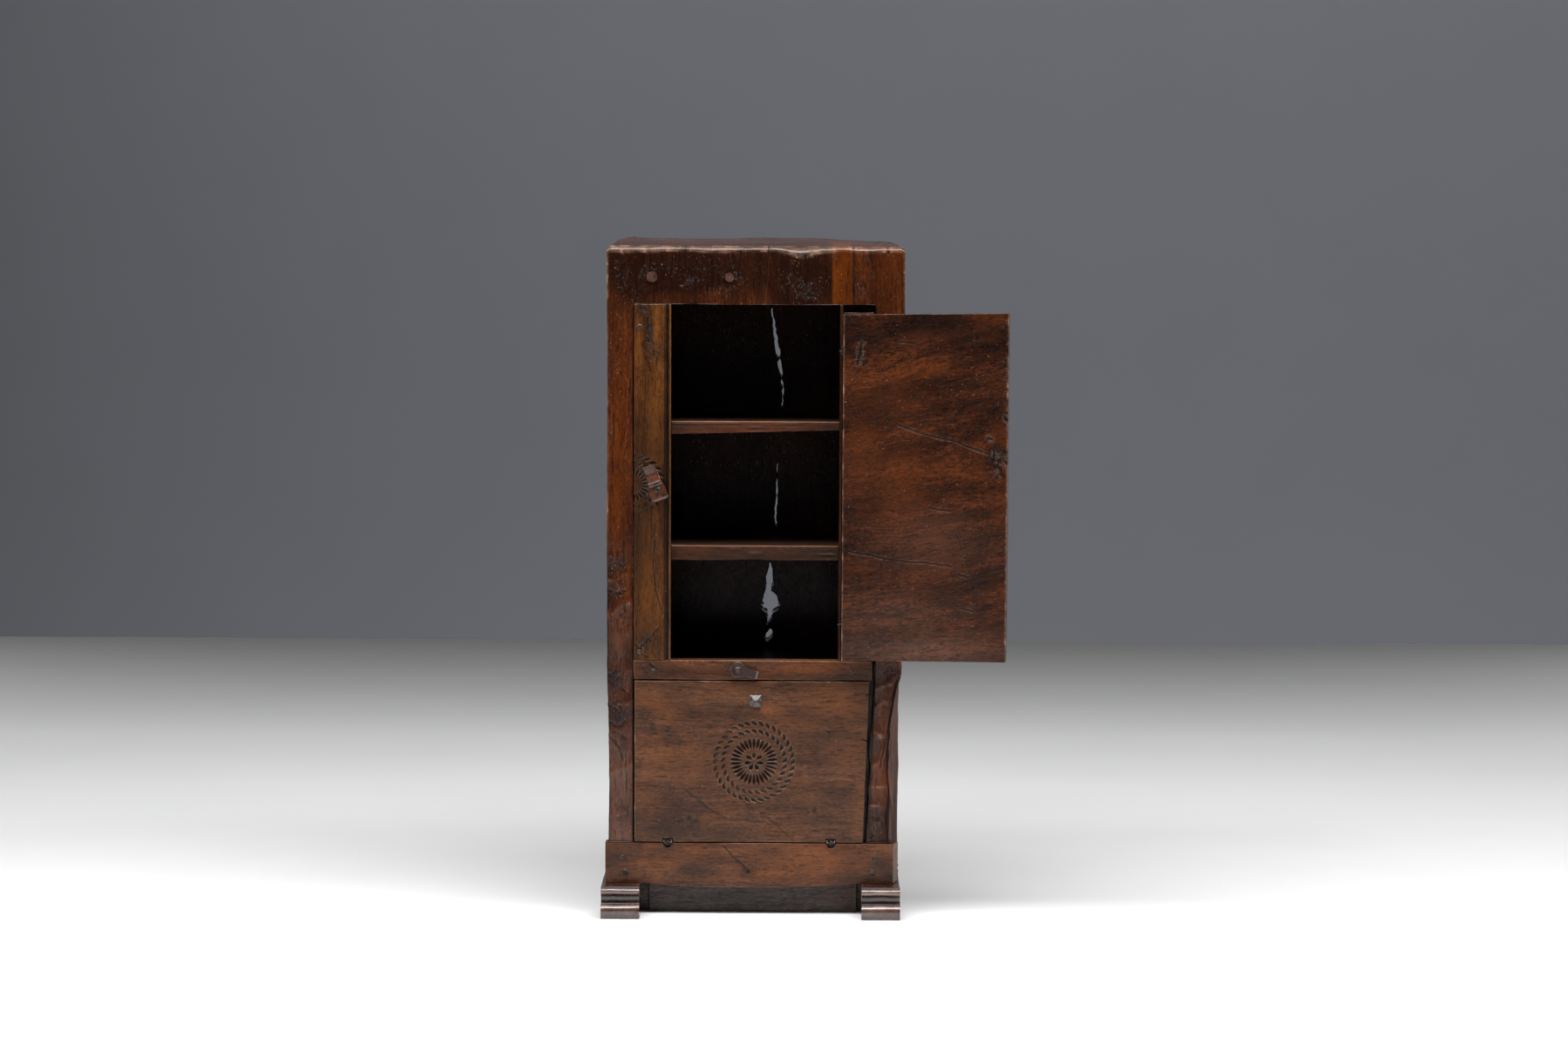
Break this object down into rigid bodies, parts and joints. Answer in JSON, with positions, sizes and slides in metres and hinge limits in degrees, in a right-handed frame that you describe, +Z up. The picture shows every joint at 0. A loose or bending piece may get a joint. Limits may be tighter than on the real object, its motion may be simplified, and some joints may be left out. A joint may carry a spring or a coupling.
{
  "type": "cupboard",
  "caption": "Rustic cupboard hewn from a hollowed trunk, with a plank door, a carved drop flap, shelves and moulded runner feet.",
  "frame": {"origin": "on the floor, midway between the carcase's sides and in the middle of the base board's thickness", "axes": "+X to the right as one faces the cupboard, +Y to its back, +Z up"},
  "size_m": [0.7402, 0.4398, 1.2486],
  "materials": {
    "trunk_wood": "dark waxed hardwood, worn",
    "left_board_wood": "golden brown wood, scarred",
    "right_board_wood": "brown wood",
    "middle_rail_wood": "red-brown wood with a polished arris",
    "bottom_rail_wood": "golden brown wood",
    "shelf_wood": "dull hewn wood",
    "bearer_wood": "dull hewn wood",
    "foot_wood": "dark glossy wood",
    "base_board_wood": "dark grey weathered wood",
    "peg_wood": "end-grain wood",
    "door_wood": "red-brown wood, scratched",
    "flap_wood": "brown chip-carved wood",
    "button_wood": "polished wood",
    "nail_iron": "forged, dull",
    "wire_iron": "forged wire, slightly rusted",
    "stud_iron": "forged, worn bright on its edges"
  },
  "bodies": {
    "cabinet": {"hollowed_trunk": "trunk_wood", "left_front_board": "left_board_wood", "right_front_board": "right_board_wood", "front_board_nails": "nail_iron", "middle_rail": "middle_rail_wood", "middle_rail_nails": "nail_iron", "bottom_rail": "bottom_rail_wood", "bottom_rail_spikes": "nail_iron", "upper_shelf": "shelf_wood", "lower_shelf": "shelf_wood", "middle_floor": "shelf_wood", "upper_shelf_left_bearer": "bearer_wood", "upper_shelf_right_bearer": "bearer_wood", "lower_shelf_left_bearer": "bearer_wood", "lower_shelf_right_bearer": "bearer_wood", "middle_floor_left_bearer": "bearer_wood", "middle_floor_right_bearer": "bearer_wood", "bearer_nails": "nail_iron", "left_runner_foot": "foot_wood", "right_runner_foot": "foot_wood", "left_foot_dowels": "peg_wood", "right_foot_dowels": "peg_wood", "base_board": "base_board_wood", "left_head_peg": "peg_wood", "right_head_peg": "peg_wood", "door_upper_fixed_eye": "wire_iron", "door_lower_fixed_eye": "wire_iron", "flap_left_fixed_eye": "wire_iron", "flap_right_fixed_eye": "wire_iron", "turn_button_nail": "nail_iron", "latch_nail": "nail_iron"},
    "door": {"door_plank": "door_wood", "door_upper_moving_eye": "wire_iron", "door_lower_moving_eye": "wire_iron"},
    "flap": {"flap_board": "flap_wood", "flap_stud": "stud_iron", "flap_left_moving_eye": "wire_iron", "flap_right_moving_eye": "wire_iron"},
    "turn_button": {"turn_button": "button_wood"},
    "flap_latch": {"flap_latch": "button_wood"}
  },
  "joints": [
    {"name": "door_swing", "type": "hinge", "parent": "cabinet", "child": "door", "pos_m": [0.1575, -0.045, 0.796], "axis": [0, 0, 1], "range_deg": [-170, 14]},
    {"name": "flap_drop", "type": "hinge", "parent": "cabinet", "child": "flap", "pos_m": [0, -0.0415, 0.136], "axis": [1, 0, 0], "range_deg": [0, 115]},
    {"name": "turn_button_turn", "type": "hinge", "parent": "cabinet", "child": "turn_button", "pos_m": [-0.1782, -0.0404, 0.7898], "axis": [0, -1, 0], "continuous": true},
    {"name": "flap_latch_turn", "type": "hinge", "parent": "cabinet", "child": "flap_latch", "pos_m": [-0.03, -0.0404, 0.4585], "axis": [0, -1, 0], "continuous": true}
  ]
}
